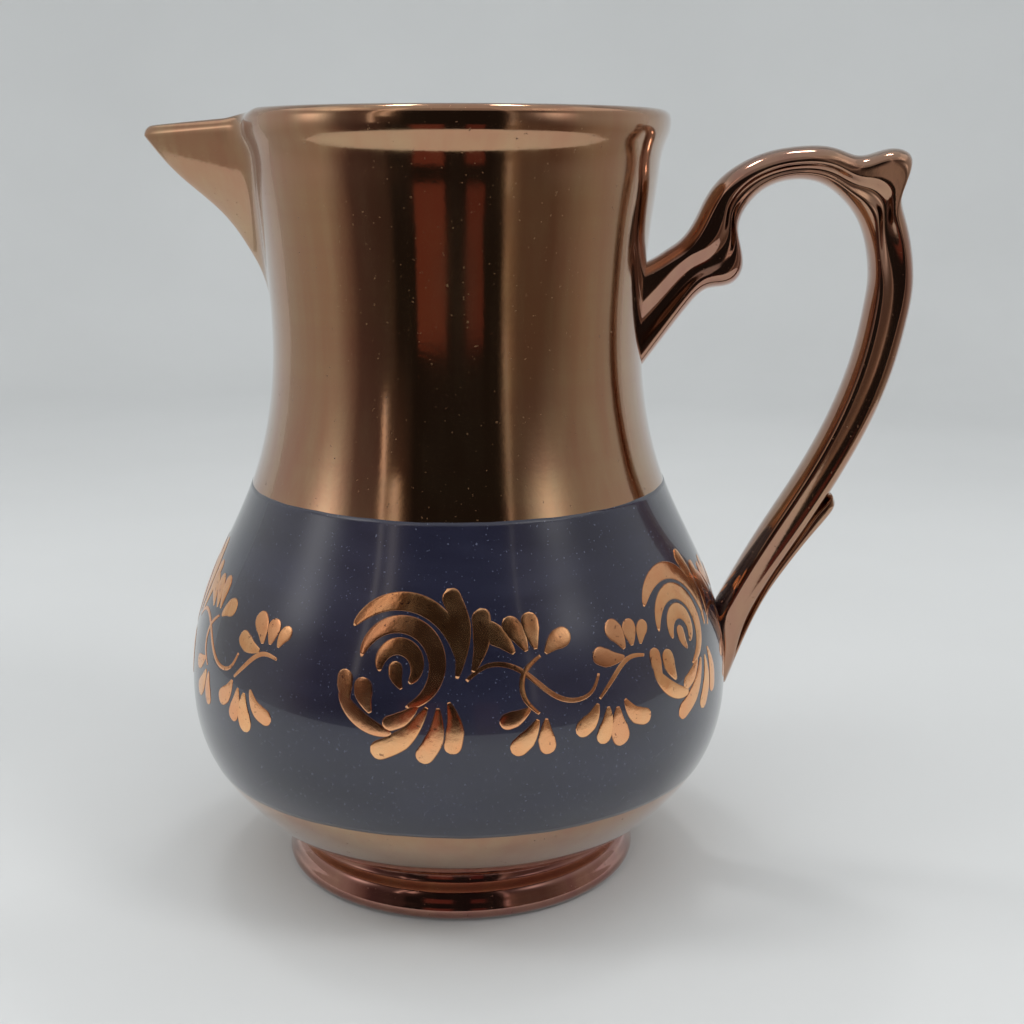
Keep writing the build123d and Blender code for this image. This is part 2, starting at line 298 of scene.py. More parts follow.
# Mesh rows and columns
OUTER_ROWS = 150
INNER_ROWS = 90
CROWN_STEPS = 15
BEAK_SPREAD = math.radians(30)
BEAK_COLUMNS = 170
BACK_COLUMNS = 300
FOOT_ROWS = 70
FOOT_COLUMNS = 300
BAND_ROWS = 70
BAND_COLUMNS = 400
CURL_POINTS = 44
PETAL_POINTS = 30
STEM_POINTS = 60
STROKE_COLUMNS = 9
HANDLE_ROWS = 300
HANDLE_COLUMNS = 41
SPUR_ROWS = 90
SPUR_COLUMNS = 17


# ---------------------------------------------------------------- curves and mesh helpers

def spline_values(knots, values, at):
    """Natural cubic spline through values at knots, read at the given parameters."""
    knots = np.asarray(knots, float)
    values = np.asarray(values, float)
    steps = np.diff(knots)
    count = len(knots)
    matrix = np.eye(count)
    right = np.zeros((count, values.shape[1]))
    for i in range(1, count - 1):
        matrix[i, i - 1:i + 2] = steps[i - 1], 2 * (steps[i - 1] + steps[i]), steps[i]
        rise = (values[i + 1] - values[i]) / steps[i] - (values[i] - values[i - 1]) / steps[i - 1]
        right[i] = 6 * rise
    bend = np.linalg.solve(matrix, right)
    span = np.clip(np.searchsorted(knots, at, side="right") - 1, 0, count - 2)
    step = steps[span][:, None]
    after = (np.asarray(at) - knots[span])[:, None]
    before = step - after
    curve = (bend[span] * before ** 3 + bend[span + 1] * after ** 3) / (6 * step)
    curve += (values[span] / step - bend[span] * step / 6) * before
    curve += (values[span + 1] / step - bend[span + 1] * step / 6) * after
    return curve


def smooth_path(points, count):
    """Evenly spaced points along a smooth curve through the given points."""
    points = np.asarray(points, float)
    knots = np.concatenate([[0], np.cumsum(np.linalg.norm(np.diff(points, axis=0), axis=1))])
    fine = spline_values(knots, points, np.linspace(0, knots[-1], 20 * len(points)))
    lengths = np.concatenate([[0], np.cumsum(np.linalg.norm(np.diff(fine, axis=0), axis=1))])
    at = np.linspace(0, lengths[-1], count)
    return np.stack([np.interp(at, lengths, column) for column in fine.T], axis=1)


def smooth_max(a, b, radius):
    """The larger of a and b, with a rounded inside corner where they cross."""
    overlap = np.maximum(radius - np.abs(a - b), 0) / radius
    return np.maximum(a, b) + overlap * overlap * radius / 4


def soft_step(value, edge, softness):
    """Zero below an edge and one above it, with a soft change between."""
    share = np.clip((value - edge) / softness + 0.5, 0, 1)
    return share * share * (3 - 2 * share)


def grid_faces(rows, columns, wrap):
    """Quads over a grid of vertices stored row by row. The columns close up if wrap is set."""
    faces = []
    last = columns if wrap else columns - 1
    for row in range(rows - 1):
        for column in range(last):
            following = (column + 1) % columns
            faces.append((
                row * columns + column,
                row * columns + following,
                (row + 1) * columns + following,
                (row + 1) * columns + column,
            ))
    return faces


def tube_faces(rows, columns):
    """Faces of a tube that closes up round its columns, with a cap at each end."""
    first = tuple(range(columns))
    last = tuple((rows - 1) * columns + column for column in first)
    return grid_faces(rows, columns, wrap=True) + [first[::-1], last]


def ring_faces(rows, columns):
    """Quads of a ring that closes up both ways."""
    count = rows * columns
    faces = grid_faces(rows + 1, columns, wrap=True)
    return [tuple(index % count for index in face) for face in faces]


def turned_rows(profile, angles):
    """Radii and heights of a profile, repeated for every angle."""
    return np.asarray(profile, float).T[:, :, None] + 0 * angles


def turned(radius, height, angles):
    """Vertices at the given radii and heights, turned about Z."""
    return np.stack([radius * np.cos(angles), radius * np.sin(angles), height], axis=-1)


def make_piece(name, vertices, faces, material):
    """A smooth mesh object from vertices in millimetres."""
    mesh = bpy.data.meshes.new(name)
    mesh.from_pydata((np.reshape(vertices, (-1, 3)) * MM).tolist(), [], faces)
    mesh.materials.append(material)
    mesh.shade_smooth()
    mesh.validate()
    piece = bpy.data.objects.new(name, mesh)
    bpy.context.scene.collection.objects.link(piece)
    return piece


def take_finish(piece):
    """Lets a piece ride on the jug."""
    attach(piece, "root")


def stand_for(piece, slot_name, *nodes):
    """Lets a piece ride on the jug and stand for CAD nodes, whose meshes it hides."""
    take_finish(piece)
    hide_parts(*nodes)


def add_point_values(piece, name, values):
    """Stores one number per vertex, for a material to read."""
    attribute = piece.data.attributes.new(name, "FLOAT", "POINT")
    attribute.data.foreach_set("value", np.ravel(values).astype(np.float32))


OUTER_WALL = smooth_path(OUTER_PROFILE, 600)


def wall_radius(height):
    """Outer radius of the body at a height."""
    return np.interp(height, OUTER_WALL[:, 1], OUTER_WALL[:, 0])


# ---------------------------------------------------------------- body and spout

def keel_angles():
    """Angles about Z from the beak's keel, closer together round the beak."""
    near = np.linspace(-BEAK_SPREAD, BEAK_SPREAD, BEAK_COLUMNS)
    far = np.linspace(BEAK_SPREAD, FULL_TURN - BEAK_SPREAD, BACK_COLUMNS)[1:-1]
    return np.concatenate([near, far])


def beak_radius(turn, height, sections, back):
    """Distance from the axis to a V-shaped beak, at an angle from its keel."""
    sections = np.asarray(sections, float)
    shape = spline_values(sections[:, 0], sections[:, 1:], height.ravel())
    reach, half_width = shape.T.reshape(2, *height.shape)
    flank = np.arctan2(np.maximum(half_width, BEAK_LEAST_HALF_WIDTH), reach - back)
    rounded = np.sqrt(turn ** 2 + BEAK_NOSE ** 2) - BEAK_NOSE
    radius = reach * np.sin(flank) / np.sin(np.minimum(rounded + flank, math.pi / 2))
    return np.where((turn < BEAK_HALF_ANGLE) & (height > BEAK_START_HEIGHT), radius, 0)


def beaked_rows(profile, turn, sections, back):
    """Radii and heights of a turned profile with the beak blended in."""
    radius, height = turned_rows(profile, turn)
    rise = np.clip(height - BEAK_START_HEIGHT, 0, None)
    stretch = (JUG_HEIGHT - BEAK_START_HEIGHT) / BEAK_RISE
    beak = beak_radius(turn, BEAK_START_HEIGHT + rise * stretch, sections, back)
    radius = smooth_max(radius, beak, BEAK_FILLET)
    forward = np.clip(radius * np.cos(turn) - DIP_START, 0, None)
    stepped = soft_step(forward, DIP_STEP_LENGTH / 2, DIP_STEP_LENGTH)
    dip = (DIP_STEP * stepped + DIP_SLOPE * forward) * (turn < BEAK_HALF_ANGLE)
    return np.stack([radius, height - dip * rise / BEAK_RISE])


def crown_rows(outer_edge, inner_edge):
    """Radii and heights of the lip's rounded top, from its outer to its inner edge."""
    over = np.linspace(0, math.pi, CROWN_STEPS)[1:-1, None]
    outer_share = (1 + np.cos(over)) / 2
    rows = outer_edge[:, None] * outer_share + inner_edge[:, None] * (1 - outer_share)
    rows[1] += LIP_THICKNESS / 2 * np.sin(over)
    return rows


def build_jug(material):
    """Belly, neck, lip, beak, lining, floor and underside as one closed surface."""
    from_keel = keel_angles()
    turn = np.abs((from_keel + math.pi) % FULL_TURN - math.pi)
    outer = beaked_rows(smooth_path(OUTER_PROFILE, OUTER_ROWS), turn, BEAK_SECTIONS, BEAK_BACK)
    inner_path = smooth_path(INNER_PROFILE, INNER_ROWS)
    inner = beaked_rows(inner_path, turn, CHANNEL_SECTIONS, CHANNEL_BACK)
    underside = turned_rows(UNDERSIDE_PROFILE, turn)
    crown = crown_rows(outer[:, -1], inner[:, 0])
    floor = turned_rows(FLOOR_PROFILE, turn)
    radius, height = np.concatenate([underside, outer, crown, inner, floor], axis=1)
    vertices = turned(radius, height, from_keel + math.pi)
    jug = make_piece("jug_body", vertices, tube_faces(*radius.shape), material)
    lining = np.zeros(radius.shape)
    lining[:len(UNDERSIDE_PROFILE)] = 1
    lining[-(INNER_ROWS + len(FLOOR_PROFILE)):] = 1
    add_point_values(jug, "lining", lining)
    stand_for(jug, "copper_lustre", "body_shell", "spout")


# ---------------------------------------------------------------- foot and band

def build_foot(material):
    """The turned foot ring, which runs up into the belly."""
    angles = np.linspace(0, FULL_TURN, FOOT_COLUMNS, endpoint=False)
    radius, height = turned_rows(smooth_path(FOOT_PROFILE, FOOT_ROWS), angles)
    foot = make_piece("foot", turned(radius, height, angles), ring_faces(*radius.shape), material)
    stand_for(foot, "foot_lustre", "foot_ring")


def band_edge(angles, height, wander, phase):
    """A hand-painted edge that wanders a little as the jug turns."""
    waves = sum(
        share * np.sin(angles * count + factor * phase) for count, factor, share in EDGE_WAVES
    )
    return height + wander * waves


def build_band(material):
    """The cobalt band: a thin layer on the belly with painted edges."""
    angles = np.linspace(0, FULL_TURN, BAND_COLUMNS, endpoint=False)
    low = band_edge(angles, BAND_BOTTOM, *LOW_EDGE)
    high = band_edge(angles, BAND_TOP, *HIGH_EDGE)
    height = low + (high - low) * np.linspace(0, 1, BAND_ROWS)[:, None]
    outer = wall_radius(height) + BAND_SKIN
    inner = (wall_radius(height) - BURIED)[::-1]
    radius = np.concatenate([outer, inner])
    height = np.concatenate([height, height[::-1]])
    vertices = turned(radius, height, angles)
    band = make_piece("cobalt_band", vertices, ring_faces(*radius.shape), material)
    stand_for(band, "cobalt_blue", "blue_band")


# ---------------------------------------------------------------- flower sprays

def curl_line(radius, start, sweep, width):
    """Centre line and half widths of a crescent stroke about the rose's centre."""
    share = np.linspace(0, 1, CURL_POINTS)
    turn = np.radians(start + sweep * share)
    line = np.stack([
        ROSE_CENTRE[0] + radius * np.cos(turn),
        ROSE_CENTRE[1] + radius * np.sin(turn),
    ], axis=1)
    swell = np.sin(math.pi * np.clip(share, 0.002, 0.998)) ** CURL_SWELL
    return line, STROKE_SPREAD * width / 2 * swell


def petal_line(root, tip, width, bend):
    """Centre line and half widths of a comma stroke, fine at its root and round at its tip."""
    root = np.asarray(root)
    tip = np.asarray(tip)
    length = np.linalg.norm(tip - root)
    along = (tip - root) / length
    across = np.array([-along[1], along[0]])
    waist = root + (tip - root) * 0.5 + across * bend
    line = smooth_path([root, waist, tip], PETAL_POINTS)
    share = np.linspace(0, 1, PETAL_POINTS)
    half_width = STROKE_SPREAD * width / 2
    swell = PETAL_ROOT + (1 - PETAL_ROOT) * np.clip(share / PETAL_FULL_AT, 0, 1) ** PETAL_SWELL
    round_share = half_width / length
    beyond = np.clip((share - 1 + round_share) / round_share, 0, 0.999)
    return line, half_width * swell * np.sqrt(1 - beyond ** 2)


def stem_line(points):
    """Centre line and half widths of a fine brushed stem."""
    line = smooth_path(points, STEM_POINTS)
    share = np.linspace(0, 1, STEM_POINTS)
    swell = STEM_END + (1 - STEM_END) * np.sin(math.pi * share)
    return line, STEM_WIDTH / 2 * swell


def wrap_on_belly(points, angle, outset):
    """Points drawn on the upright plane at an angle, pressed onto the belly."""
    radius = wall_radius(points[..., 1])
    turn = math.radians(angle) + np.arcsin(np.clip(points[..., 0] / radius, -0.99, 0.99))
    return turned(radius + outset, points[..., 1], turn)


def stroke_shell(line, half_widths, angle, lift):
    """Vertices, faces and edge values of one domed brush stroke."""
    tangent = np.gradient(line, axis=0)
    tangent /= np.linalg.norm(tangent, axis=1)[:, None]
    across = np.stack([-tangent[:, 1], tangent[:, 0]], axis=1)
    side = np.sin(np.linspace(-math.pi / 2, math.pi / 2, STROKE_COLUMNS))
    points = line[:, None, :] + across[:, None, :] * (half_widths[:, None] * side)[..., None]
    dome = STROKE_DOME * np.sqrt(np.clip(1 - side ** 2, 0, 1))
    dome = dome * np.minimum(half_widths, 1)[:, None]
    top = wrap_on_belly(points, angle, STROKE_SKIN + lift + dome)
    bottom = wrap_on_belly(points[:, [-1, 0], :], angle, -BURIED)
    shell = np.concatenate([top, bottom], axis=1)
    rows, columns = shell.shape[:2]
    edge = np.broadcast_to(np.concatenate([np.abs(side), [1, 1]]), (rows, columns))
    return shell.reshape(-1, 3), tube_faces(rows, columns), edge.ravel()


def build_spray(number, angle, material):
    """One rose with the branch to its right."""
    strokes = [(curl_line(*curl), angle) for curl in ROSE_CURLS]
    strokes += [(petal_line(*petal), angle) for petal in ROSE_PETALS]
    branch = angle + BRANCH_TURN
    strokes += [(stem_line(stem), branch) for stem in BRANCH_STEMS]
    strokes += [(petal_line(*leaf), branch) for leaf in BRANCH_LEAVES]
    vertices, faces, edges, tones = [], [], [], []
    tone_source = np.random.default_rng(number)
    for order, ((line, half_widths), plane_angle) in enumerate(strokes):
        lift = STROKE_STEP * (order % 5)
        points, quads, edge = stroke_shell(line, half_widths, plane_angle, lift)
        start = sum(len(block) for block in vertices)
        vertices.append(points)
        faces += [tuple(start + index for index in face) for face in quads]
        edges.append(edge)
        tones.append(np.full(len(points), tone_source.random()))
    spray = make_piece(f"flower_spray_{number}", np.concatenate(vertices), faces, material)
    add_point_values(spray, "edge", np.concatenate(edges))
    add_point_values(spray, "tone", np.concatenate(tones))
    stand_for(spray, "painted_lustre", f"spray_{number}")


# ---------------------------------------------------------------- handle

def strap(stations, count, across, half_width, rim):
    """A closed band of sections between two outlines, with rounded rims and side grooves."""
    stations = np.asarray(stations, float)
    middle = (stations[:, 0:2] + stations[:, 2:4]) / 2
    knots = np.concatenate([[0], np.cumsum(np.linalg.norm(np.diff(middle, axis=0), axis=1))])
    rows = spline_values(knots, stations, np.linspace(0, knots[-1], count))
    share = (1 - np.cos(np.linspace(0, math.pi, across))) / 2
    inner = rows[:, None, 0:2]
    outer = rows[:, None, 2:4]
    plan = inner + (outer - inner) * share[None, :, None]
    length = np.linalg.norm(outer - inner, axis=2)
    edge = np.minimum(share, 1 - share) * length
    rounding = np.minimum(rim, length / 2)
    thickness = half_width * np.sqrt(np.clip(1 - (1 - np.minimum(edge / rounding, 1)) ** 2, 0, 1))
    if stations.shape[1] > 4:
        centre, half_groove, depth = rows[:, 4:].T[..., None]
        offset = (share - centre) / half_groove
        thickness = thickness - depth * np.clip(1 - offset ** 2, 0, 1) ** 1.5
    front = np.stack([plan[..., 0], -thickness, plan[..., 1]], axis=-1)
    back = np.stack([plan[..., 0], thickness, plan[..., 1]], axis=-1)[:, -2:0:-1]
    shell = np.concatenate([front, back], axis=1)
    return shell, tube_faces(*shell.shape[:2])


def build_handle(material):
    """The scrolled handle with its side grooves, and the spur behind it."""
    shell, faces = strap(
        HANDLE_STATIONS, HANDLE_ROWS, HANDLE_COLUMNS, HANDLE_HALF_WIDTH, HANDLE_RIM
    )
    handle = make_piece("handle_scroll", shell, faces, material)
    stand_for(handle, "handle_lustre", "handle")
    shell, faces = strap(SPUR_STATIONS, SPUR_ROWS, SPUR_COLUMNS, SPUR_HALF_WIDTH, SPUR_RIM)
    spur = make_piece("handle_spur", shell, faces, material)
    take_finish(spur)


# ---------------------------------------------------------------- materials

# Fired copper lustre: main colour, warmer clouds and paler streaks
BODY_COPPER = ((0.46, 0.265, 0.130), (0.43, 0.205, 0.115), (0.50, 0.36, 0.195))
FOOT_COPPER = ((0.36, 0.17, 0.12), (0.32, 0.13, 0.11), (0.44, 0.24, 0.16))
HANDLE_COPPER = ((0.40, 0.22, 0.13), (0.36, 0.165, 0.115), (0.46, 0.29, 0.17))
PIT = (0.10, 0.05, 0.03)
# Cream glaze of the lining
CREAM = ((0.74, 0.66, 0.50), (0.80, 0.74, 0.60))
CREAM_SPECK = (0.35, 0.24, 0.14)
# Height where the cream gives way to lustre and the softness of that edge, in metres
CREAM_TOP = 0.1265
CREAM_EDGE = 0.0003
COBALT = ((0.009, 0.009, 0.021), (0.016, 0.017, 0.037))
COBALT_SPECK = (0.2, 0.22, 0.3)
# Painted strokes: thin and thick lustre, a redder tone, scratches and dark outlines
STROKE_LUSTRE = ((0.92, 0.44, 0.20), (0.98, 0.56, 0.28))
STROKE_RED = (0.80, 0.36, 0.20)
STROKE_SCRATCH = (0.16, 0.06, 0.05)
STROKE_OUTLINE = (0.12, 0.04, 0.03)
PAPER = (0.66, 0.67, 0.67)
PAPER_SHADE = 0.95


def new_material(name):
    """A material with its node tree, its Principled shader and its object coordinates."""
    material = bpy.data.materials.new(name)
    material.use_nodes = True
    tree = material.node_tree
    tree.nodes.clear()
    shader = tree.nodes.new("ShaderNodeBsdfPrincipled")
    output = tree.nodes.new("ShaderNodeOutputMaterial")
    tree.links.new(shader.outputs[0], output.inputs[0])
    place = tree.nodes.new("ShaderNodeTexCoord").outputs["Object"]
    return material, tree, shader, place


def noise(tree, place, scale, stretch=(1, 1, 1), detail=3.0):
    """Noise at a scale per metre, stretched along the axes."""
    mapping = tree.nodes.new("ShaderNodeMapping")
    mapping.inputs["Scale"].default_value = stretch
    tree.links.new(place, mapping.inputs["Vector"])
    texture = tree.nodes.new("ShaderNodeTexNoise")
    texture.inputs["Scale"].default_value = scale
    texture.inputs["Detail"].default_value = detail
    tree.links.new(mapping.outputs[0], texture.inputs["Vector"])
    return texture.outputs[0]


def remap(tree, value, low, high, to_low=0.0, to_high=1.0):
    """A value moved from one range to another and held inside it."""
    node = tree.nodes.new("ShaderNodeMapRange")
    limits = {"From Min": low, "From Max": high, "To Min": to_low, "To Max": to_high}
    for name, number in limits.items():
        node.inputs[name].default_value = number
    tree.links.new(value, node.inputs["Value"])
    return node.outputs[0]


def blend(tree, factor, first, second):
    """Two colours mixed by a factor. A colour is a socket or an RGB triple."""
    node = tree.nodes.new("ShaderNodeMix")
    node.data_type = "RGBA"
    tree.links.new(factor, node.inputs[0])
    for socket, colour in ((node.inputs[6], first), (node.inputs[7], second)):
        if isinstance(colour, tuple):
            socket.default_value = (*colour, 1)
        else:
            tree.links.new(colour, socket)
    return node.outputs[2]


def calculate(tree, operation, first, second):
    """A Math node on two sockets or numbers."""
    node = tree.nodes.new("ShaderNodeMath")
    node.operation = operation
    for socket, value in zip(node.inputs, (first, second)):
        if isinstance(value, (int, float)):
            socket.default_value = value
        else:
            tree.links.new(value, socket)
    return node.outputs[0]


def scaled(tree, value, share):
    """A share of a value."""
    return calculate(tree, "MULTIPLY", value, share)


def mesh_value(tree, name):
    """A number stored on the mesh."""
    node = tree.nodes.new("ShaderNodeAttribute")
    node.attribute_name = name
    return node.outputs["Fac"]


def add_bump(tree, shader, height, distance):
    """Bump from a height value, with its depth in metres."""
    node = tree.nodes.new("ShaderNodeBump")
    node.inputs["Distance"].default_value = distance
    tree.links.new(height, node.inputs["Height"])
    tree.links.new(node.outputs[0], shader.inputs["Normal"])


def add_glaze(shader):
    """The clear skin over the lustre, which pales where the surface turns away."""
    shader.inputs["Coat Weight"].default_value = 1.0
    shader.inputs["Coat Roughness"].default_value = 0.05
    shader.inputs["Coat IOR"].default_value = 1.45


def lustre_layers(tree, place, base, warm, pale):
    """Colour, roughness and relief of fired copper lustre: clouds, streaks, rings and pits."""
    clouds = remap(tree, noise(tree, place, 22.0), 0.35, 0.65)
    streaks = remap(tree, noise(tree, place, 260.0, (1, 1, 0.07), 4.0), 0.35, 0.68)
    rings = remap(tree, noise(tree, place, 40.0, (0.3, 0.3, 9)), 0.4, 0.7)
    pits = remap(tree, noise(tree, place, 1500.0, detail=2.0), 0.72, 0.76)
    colour = blend(tree, clouds, base, warm)
    colour = blend(tree, scaled(tree, streaks, 0.45), colour, pale)
    colour = blend(tree, scaled(tree, rings, 0.3), colour, warm)
    colour = blend(tree, scaled(tree, pits, 0.6), colour, PIT)
    rough = remap(tree, streaks, 0, 1, 0.07, 0.15)
    rough = calculate(tree, "ADD", rough, scaled(tree, pits, 0.35))
    grain = noise(tree, place, 900.0, detail=2.0)
    swell = noise(tree, place, 110.0, (1, 1, 0.5), 1.0)
    relief = calculate(tree, "ADD", scaled(tree, grain, 0.12), swell)
    relief = calculate(tree, "SUBTRACT", relief, scaled(tree, pits, 0.25))
    return colour, rough, relief


def jug_material():
    """Copper lustre outside and round the mouth, cream glaze deeper inside and underneath."""
    material, tree, shader, place = new_material("copper_lustre_body")
    colour, rough, relief = lustre_layers(tree, place, *BODY_COPPER)
    split = tree.nodes.new("ShaderNodeSeparateXYZ")
    tree.links.new(place, split.inputs[0])
    drips = scaled(tree, noise(tree, place, 90.0, (1, 1, 0.4), 4.0), 0.008)
    height = calculate(tree, "ADD", split.outputs["Z"], drips)
    below = remap(tree, height, CREAM_TOP, CREAM_TOP - CREAM_EDGE)
    cream = calculate(tree, "MULTIPLY", mesh_value(tree, "lining"), below)
    glaze = blend(tree, remap(tree, noise(tree, place, 30.0), 0.3, 0.7), *CREAM)
    specks = remap(tree, noise(tree, place, 700.0), 0.66, 0.74)
    glaze = blend(tree, scaled(tree, specks, 0.5), glaze, CREAM_SPECK)
    tree.links.new(blend(tree, cream, colour, glaze), shader.inputs["Base Color"])
    tree.links.new(calculate(tree, "SUBTRACT", 1.0, cream), shader.inputs["Metallic"])
    tree.links.new(rough, shader.inputs["Roughness"])
    add_glaze(shader)
    add_bump(tree, shader, relief, 0.00006)
    return material


def lustre_material(name, colours):
    """Copper lustre over the whole of a piece."""
    material, tree, shader, place = new_material(name)
    colour, rough, relief = lustre_layers(tree, place, *colours)
    tree.links.new(colour, shader.inputs["Base Color"])
    shader.inputs["Metallic"].default_value = 1.0
    tree.links.new(rough, shader.inputs["Roughness"])
    add_glaze(shader)
    add_bump(tree, shader, relief, 0.00005)
    return material


def cobalt_material():
    """Deep cobalt enamel under a clear gloss, a little uneven where the brush lapped."""
    material, tree, shader, place = new_material("cobalt_enamel")
    laps = remap(tree, noise(tree, place, 35.0, (1, 1, 4)), 0.3, 0.7)
    colour = blend(tree, laps, *COBALT)
    specks = remap(tree, noise(tree, place, 2100.0, detail=1.0), 0.72, 0.75)
    colour = blend(tree, scaled(tree, specks, 0.35), colour, COBALT_SPECK)
    tree.links.new(colour, shader.inputs["Base Color"])
    tree.links.new(remap(tree, laps, 0, 1, 0.20, 0.27), shader.inputs["Roughness"])
    shader.inputs["Coat Weight"].default_value = 0.8
    shader.inputs["Coat Roughness"].default_value = 0.04
    add_bump(tree, shader, noise(tree, place, 120.0, detail=2.0), 0.00004)
    return material


def painted_material():
    """Painted copper lustre, thinner and darker along the edges of each stroke."""
    material, tree, shader, place = new_material("painted_lustre_strokes")
    blotch = noise(tree, place, 260.0, detail=4.0)
    colour = blend(tree, remap(tree, blotch, 0.35, 0.65), *STROKE_LUSTRE)
    colour = blend(tree, scaled(tree, mesh_value(tree, "tone"), 0.5), colour, STROKE_RED)
    scratches = remap(tree, noise(tree, place, 1200.0), 0.64, 0.70)
    colour = blend(tree, scaled(tree, scratches, 0.7), colour, STROKE_SCRATCH)
    rim = remap(tree, mesh_value(tree, "edge"), 0.86, 0.99)
    colour = blend(tree, scaled(tree, rim, 0.85), colour, STROKE_OUTLINE)
    tree.links.new(colour, shader.inputs["Base Color"])
    shader.inputs["Metallic"].default_value = 1.0
    tree.links.new(remap(tree, blotch, 0.3, 0.7, 0.12, 0.24), shader.inputs["Roughness"])
    add_bump(tree, shader, noise(tree, place, 500.0), 0.00004)
    return material


def paper_material():
    """Matt paper for the tent, with faint clouding."""
    material, tree, shader, place = new_material("tent_paper")
    cloud = remap(tree, noise(tree, place, 6.0), 0.3, 0.7)
    darker = tuple(channel * PAPER_SHADE for channel in PAPER)
    tree.links.new(blend(tree, cloud, PAPER, darker), shader.inputs["Base Color"])
    shader.inputs["Roughness"].default_value = 0.9
    shader.inputs["Specular IOR Level"].default_value = 0.0
    return material


def front_material():
    """Light that is stored on the mesh of the tent's front."""
    material = bpy.data.materials.new("tent_front")
    material.use_nodes = True
    tree = material.node_tree
    tree.nodes.clear()
    colour = tree.nodes.new("ShaderNodeAttribute")
    colour.attribute_name = "front_light"
    emission = tree.nodes.new("ShaderNodeEmission")
    output = tree.nodes.new("ShaderNodeOutputMaterial")
    tree.links.new(colour.outputs["Color"], emission.inputs["Color"])
    tree.links.new(emission.outputs[0], output.inputs[0])
    material.cycles.emission_sampling = "NONE"
    return material


# ---------------------------------------------------------------- stage, light and camera

# The tent, in metres: a round floor, the curve at its edge and the wall's height
TENT_FLOOR = 0.62
TENT_CURVE = 0.35
TENT_HEIGHT = 1.3
TENT_CURVE_ROWS = 24
TENT_COLUMNS = 96


def build_tent():
    """A pale round floor that curves up into a wall on every side."""
    bend = np.linspace(0, math.pi / 2, TENT_CURVE_ROWS)
    wall = TENT_FLOOR + TENT_CURVE
    radius = np.concatenate([[0.002, 0.2, 0.4], TENT_FLOOR + TENT_CURVE * np.sin(bend), [wall]])
    height = np.concatenate([[0, 0, 0], TENT_CURVE * (1 - np.cos(bend)), [TENT_HEIGHT]])
    angles = np.linspace(0, FULL_TURN, TENT_COLUMNS, endpoint=False)
    radius, height = turned_rows(np.stack([radius, height], axis=1), angles)
    faces = [face[::-1] for face in grid_faces(*radius.shape, wrap=True)]
    faces.append(tuple(range(TENT_COLUMNS)))
    tent = make_piece("tent", turned(radius, height, angles) / MM, faces, paper_material())


# What the jug mirrors in front of it: the tent stands open there, with a dark room behind.
# Stops are a direction from -Y in degrees and the light that comes from it.
DARK = (0.020, 0.018, 0.017)
FRONT_BELOW = [
    (-115, (0.42, 0.42, 0.40)),
    (-72, (0.42, 0.39, 0.36)),
    (-60, (0.20, 0.14, 0.13)),
    (-54, (0.09, 0.06, 0.06)),
    (-34, (0.06, 0.045, 0.04)),
    (-31, DARK),
    (26, DARK),
    (29, (0.30, 0.23, 0.18)),
    (36, (0.14, 0.105, 0.085)),
    (55, (0.14, 0.105, 0.085)),
    (80, (0.34, 0.30, 0.26)),
    (115, (0.42, 0.42, 0.40)),
]
FRONT_ABOVE = [
    (-115, (0.54, 0.55, 0.56)),
    (-66, (0.46, 0.44, 0.43)),
    (-56, (0.15, 0.12, 0.12)),
    (-42, (0.12, 0.09, 0.09)),
    (-30, (0.09, 0.065, 0.055)),
    (-22, DARK),
    (24, DARK),
    (29, (0.13, 0.105, 0.095)),
    (46, (0.11, 0.095, 0.09)),
    (60, (0.34, 0.33, 0.32)),
    (115, (0.54, 0.55, 0.56)),
]
# The first list holds up to one height in metres, the second from the other, with a blend between
BELOW_TOP = 0.060
ABOVE_BOTTOM = 0.150
# Slits of light where the tent's flaps part: direction, half width, lowest height, light
SLITS = [(-38.5, 1.5, 0.100, 0.90), (-32.0, 2.8, 0.160, 0.80), (29.0, 1.3, 0.060, 0.35)]
# Red cloth on the table: first and last direction, highest point, light
RED_CLOTHS = [(-20, -4, 0.068, (0.17, 0.060, 0.045)), (7, 16, 0.066, (0.13, 0.045, 0.036))]
# Soft lamps: direction, height, half width in degrees, half height, strength
GLOWS = [(50, 0.19, 9.0, 0.045, 0.9), (-72, 0.18, 9.0, 0.045, 1.0)]
SLIT_TINT = (1.0, 0.9, 0.82)
SLIT_SOFTNESS = 0.012
CLOTH_SIDE_SOFTNESS = 1.5
CLOTH_TOP_SOFTNESS = 0.008
# Above this height the tent's pale roof begins
ROOF_START = 0.34
ROOF_SOFTNESS = 0.06
ROOF_LIGHT = 0.34
FRONT_DISTANCE = 0.30
FRONT_BOTTOM = 0.0005
FRONT_TOP = 0.60
FRONT_SPREAD = 115
FRONT_COLUMNS = 6 * FRONT_SPREAD + 1
FRONT_ROWS = 121


def light_stops(stops, directions):
    """Colour of the light from each direction, between the stops of a list."""
    at = [direction for direction, _ in stops]
    channels = zip(*(light for _, light in stops))
    return np.stack([np.interp(directions, at, channel) for channel in channels], axis=1)


